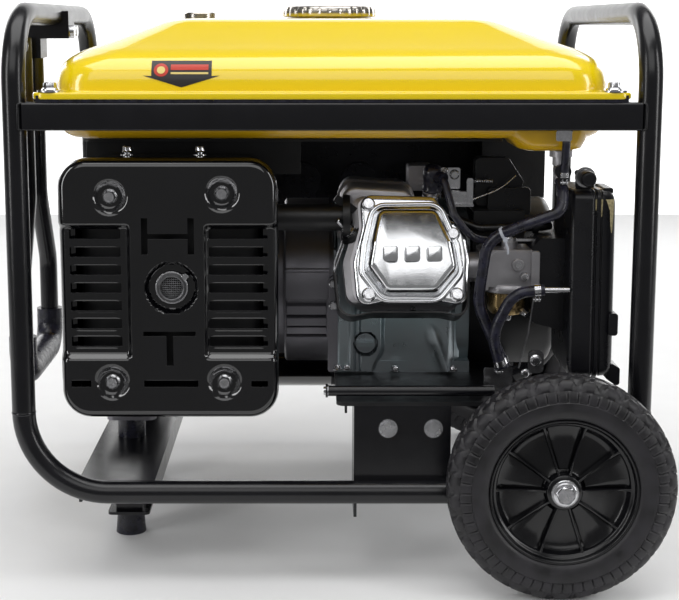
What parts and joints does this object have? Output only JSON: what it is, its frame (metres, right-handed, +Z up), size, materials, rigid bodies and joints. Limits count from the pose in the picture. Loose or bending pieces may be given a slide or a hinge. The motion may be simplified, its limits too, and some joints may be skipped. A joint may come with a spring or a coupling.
{
  "type": "portable generator",
  "caption": "Wheeled portable petrol generator: tube frame, top fuel tank, horizontal-shaft engine with shielded muffler and alternator, fold-down pull handle, two wheels and outlet panel.",
  "frame": {"origin": "middle of the bounding box on the floor plane, below the tank", "axes": "+Z up, +X towards the wheel end, the engine's valve-cover side faces -Y"},
  "size_m": [0.6644, 0.5856, 0.559],
  "materials": {
    "frame_black": "satin",
    "tank_yellow": "gloss",
    "zinc": "satin",
    "cast": "matte",
    "chrome_cover": "polished",
    "shield_black": "gloss",
    "heat_black": "matte",
    "rubber_black": "matte",
    "tyre_black": "matte",
    "plastic_black": "matte",
    "steel_dark": "satin",
    "copper": "gloss",
    "iron": "matte",
    "bowl_brass": "satin",
    "foam": "matte",
    "switch_red": "gloss",
    "panel_gray": "matte"
  },
  "bodies": {
    "frame": {"air_box": "plastic_black", "air_filter_element": "foam", "alternator_front": "cast", "alternator_rear": "cast", "axle_bolts": "zinc", "base_rail_far": "frame_black", "base_rail_near": "frame_black", "blower_housing": "heat_black", "carburettor": "cast", "control_panel": "panel_gray", "crankcase": "cast", "cross_member": "frame_black", "cylinder": "cast", "cylinder_head": "cast", "engine_bed": "frame_black", "engine_bolts": "zinc", "exhaust_pipe": "heat_black", "float_bowl": "bowl_brass", "frame_bolts": "zinc", "fuel_fittings": "zinc", "fuel_gauge": "plastic_black", "fuel_hoses": "rubber_black", "handle_bracket": "frame_black", "heat_shield": "shield_black", "hoop_left": "frame_black", "hoop_right": "frame_black", "muffler_can": "heat_black", "panel_fittings": "plastic_black", "petcock": "cast", "plug_cap_lead": "rubber_black", "recoil_cover": "heat_black", "rubber_parts": "rubber_black", "side_panels": "frame_black", "spark_arrestor": "steel_dark", "spark_plug": "steel_dark", "stator_core": "steel_dark", "stator_windings": "copper", "tank_lower": "tank_yellow", "tank_rails": "frame_black", "tank_upper": "tank_yellow", "valve_cover": "chrome_cover"},
    "wheel_near": {"wheel_near_tyre": "tyre_black", "wheel_near_rim": "plastic_black"},
    "wheel_far": {"wheel_far_tyre": "tyre_black", "wheel_far_rim": "plastic_black"},
    "handle": {"fold_handle": "frame_black", "handle_sleeve": "rubber_black"},
    "crank": {"crankshaft": "steel_dark", "flywheel_fan": "iron", "rotor": "steel_dark"},
    "recoil_pulley": {"recoil_pulley": "plastic_black"},
    "recoil_grip": {"recoil_grip": "plastic_black"},
    "fuel_cap": {"fuel_cap": "chrome_cover"},
    "fuel_valve": {"fuel_valve_lever": "plastic_black"},
    "choke": {"choke_knob": "plastic_black"},
    "governor": {"governor_arm": "zinc"},
    "rocker": {"rocker_switch": "switch_red"},
    "breaker_1": {"breaker_button_1": "plastic_black"},
    "breaker_2": {"breaker_button_2": "plastic_black"},
    "dipstick": {"dipstick": "plastic_black"}
  },
  "joints": [
    {"name": "wheel_near_spin", "type": "hinge", "parent": "frame", "child": "wheel_near", "pos_m": [0.22425, -0.263, 0.108], "axis": [0, 1, 0], "continuous": true},
    {"name": "wheel_far_spin", "type": "hinge", "parent": "frame", "child": "wheel_far", "pos_m": [0.22425, 0.263, 0.108], "axis": [0, 1, 0], "continuous": true},
    {"name": "handle_fold", "type": "hinge", "parent": "frame", "child": "handle", "pos_m": [-0.31775, 0, 0.5148], "axis": [0, 1, 0], "range_deg": [0, 95]},
    {"name": "crank_spin", "type": "hinge", "parent": "frame", "child": "crank", "pos_m": [0.00825, 0, 0.258], "axis": [1, 0, 0], "continuous": true},
    {"name": "recoil_pull", "type": "slide", "parent": "frame", "child": "recoil_grip", "axis": [0, 1, 0], "range_m": [0, 0.6]},
    {"name": "recoil_pulley_spin", "type": "hinge", "parent": "frame", "child": "recoil_pulley", "pos_m": [0.23325, 0, 0.258], "axis": [1, 0, 0], "range_deg": [-955, 0]},
    {"name": "cap_turn", "type": "hinge", "parent": "frame", "child": "fuel_cap", "pos_m": [0.00825, 0, 0.55], "axis": [0, 0, 1], "range_deg": [0, 90]},
    {"name": "fuel_valve_turn", "type": "hinge", "parent": "frame", "child": "fuel_valve", "pos_m": [0.22925, -0.195, 0.399], "axis": [0, 1, 0], "range_deg": [0, 90]},
    {"name": "choke_pull", "type": "slide", "parent": "frame", "child": "choke", "axis": [0, -1, 0], "range_m": [0, 0.018]},
    {"name": "governor_turn", "type": "hinge", "parent": "frame", "child": "governor", "pos_m": [0.18625, -0.154, 0.325], "axis": [0, 0, 1], "range_deg": [0, 25]},
    {"name": "rocker_tilt", "type": "hinge", "parent": "frame", "child": "rocker", "pos_m": [0.11825, 0.222, 0.35], "axis": [1, 0, 0], "range_deg": [-10, 10]},
    {"name": "breaker_1_press", "type": "slide", "parent": "frame", "child": "breaker_1", "axis": [0, -1, 0], "range_m": [0, 0.0025], "stiffness_N_per_m": 200},
    {"name": "breaker_2_press", "type": "slide", "parent": "frame", "child": "breaker_2", "axis": [0, -1, 0], "range_m": [0, 0.0025], "stiffness_N_per_m": 200},
    {"name": "dipstick_turn", "type": "hinge", "parent": "frame", "child": "dipstick", "pos_m": [0.04525, -0.1, 0.209], "axis": [0, 1, 0], "continuous": true}
  ],
  "couplings": [
    {"joint": "recoil_pulley_spin", "follows": "recoil_pull", "rad_per_m": -27.624}
  ]
}
